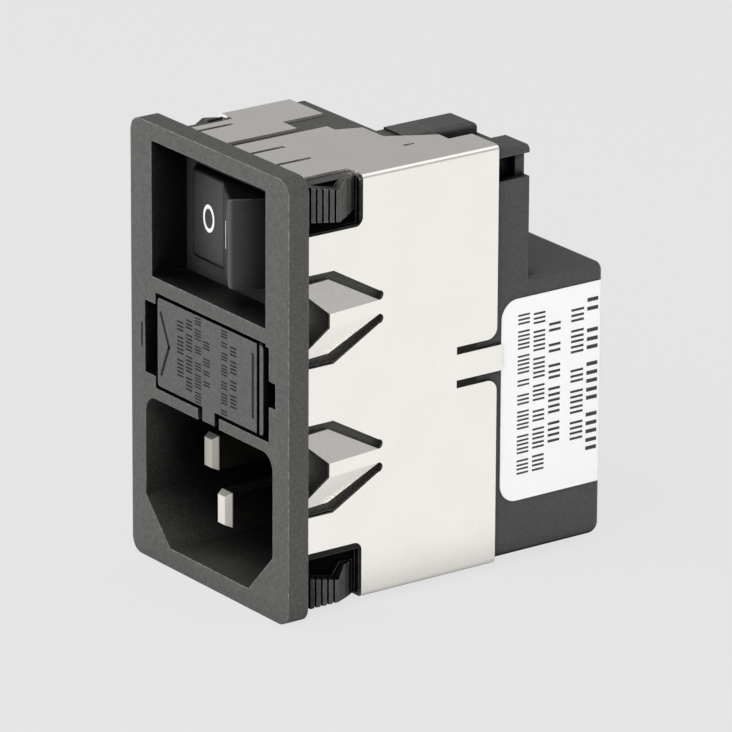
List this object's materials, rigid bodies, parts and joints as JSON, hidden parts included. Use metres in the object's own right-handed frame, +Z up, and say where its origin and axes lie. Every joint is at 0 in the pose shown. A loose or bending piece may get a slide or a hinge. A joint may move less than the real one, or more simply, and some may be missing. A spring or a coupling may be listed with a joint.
{
  "type": "power entry module",
  "caption": "Snap-in panel power entry module with an appliance inlet, pull-out fuse drawer, rocker switch, folded metal shield and rear filter case.",
  "frame": {"origin": "middle of the flange's panel seat, in the plane of the panel's front face", "axes": "X to the right seen from the front, Y through the panel towards the rear, Z up"},
  "size_m": [0.0302, 0.0442, 0.051],
  "materials": {
    "housing_black": "fine texture",
    "case_black": "satin",
    "rocker_black": "satin",
    "switch_black": "satin",
    "drawer_black": "fine texture",
    "shield_plated": "satin plating",
    "label_white": "satin film",
    "pin_plated": "nickel plate",
    "contact_brass": "bright",
    "spring_steel": "drawn wire",
    "plunger_white": "satin",
    "fuse_glass": "clear",
    "fuse_cap": "nickel plate",
    "fuse_wire": "drawn wire",
    "board_green": "satin",
    "core_ferrite": "matte",
    "winding_copper": "enamelled",
    "cap_yellow": "satin",
    "cap_blue": "gloss",
    "resistor_tan": "gloss"
  },
  "bodies": {
    "module": {"front_housing": "housing_black", "shield": "shield_plated", "rear_case": "case_black", "label": "label_white", "switch_housing": "switch_black", "switch_base": "switch_black", "upper_pivot_contact": "contact_brass", "lower_pivot_contact": "contact_brass", "line_terminal": "pin_plated", "neutral_terminal": "pin_plated", "earth_terminal": "pin_plated", "line_pin": "pin_plated", "neutral_pin": "pin_plated", "earth_pin": "pin_plated", "front_left_fuse_contact": "contact_brass", "front_right_fuse_contact": "contact_brass", "rear_left_fuse_contact": "contact_brass", "rear_right_fuse_contact": "contact_brass", "filter_board": "board_green", "choke_core": "core_ferrite", "left_choke_winding": "winding_copper", "right_choke_winding": "winding_copper", "x_capacitor": "cap_yellow", "upper_y_capacitor": "cap_blue", "lower_y_capacitor": "cap_blue", "discharge_resistor": "resistor_tan"},
    "drawer": {"fuse_drawer": "drawer_black", "left_fuse_tube": "fuse_glass", "right_fuse_tube": "fuse_glass", "left_fuse_caps": "fuse_cap", "right_fuse_caps": "fuse_cap", "left_fuse_wire": "fuse_wire", "right_fuse_wire": "fuse_wire"},
    "rocker": {"rocker": "rocker_black", "upper_plunger": "plunger_white", "lower_plunger": "plunger_white", "upper_plunger_spring": "spring_steel", "lower_plunger_spring": "spring_steel"},
    "upper_lever": {"upper_lever": "contact_brass"},
    "lower_lever": {"lower_lever": "contact_brass"}
  },
  "joints": [
    {"name": "rocker_hinge", "type": "hinge", "parent": "module", "child": "rocker", "pos_m": [0, 0.00965, 0.01523], "axis": [0, 0, 1], "range_deg": [0, 32]},
    {"name": "drawer_slide", "type": "slide", "parent": "module", "child": "drawer", "axis": [0, -1, 0], "range_m": [0, 0.022]},
    {"name": "upper_lever_hinge", "type": "hinge", "parent": "module", "child": "upper_lever", "pos_m": [0, 0.01703, 0.01783], "axis": [0, 0, 1], "range_deg": [-16, 0]},
    {"name": "lower_lever_hinge", "type": "hinge", "parent": "module", "child": "lower_lever", "pos_m": [0, 0.01703, 0.01263], "axis": [0, 0, 1], "range_deg": [-16, 0]}
  ],
  "couplings": [
    {"joint": "upper_lever_hinge", "follows": "rocker_hinge", "ratio": -0.5},
    {"joint": "lower_lever_hinge", "follows": "rocker_hinge", "ratio": -0.5}
  ]
}
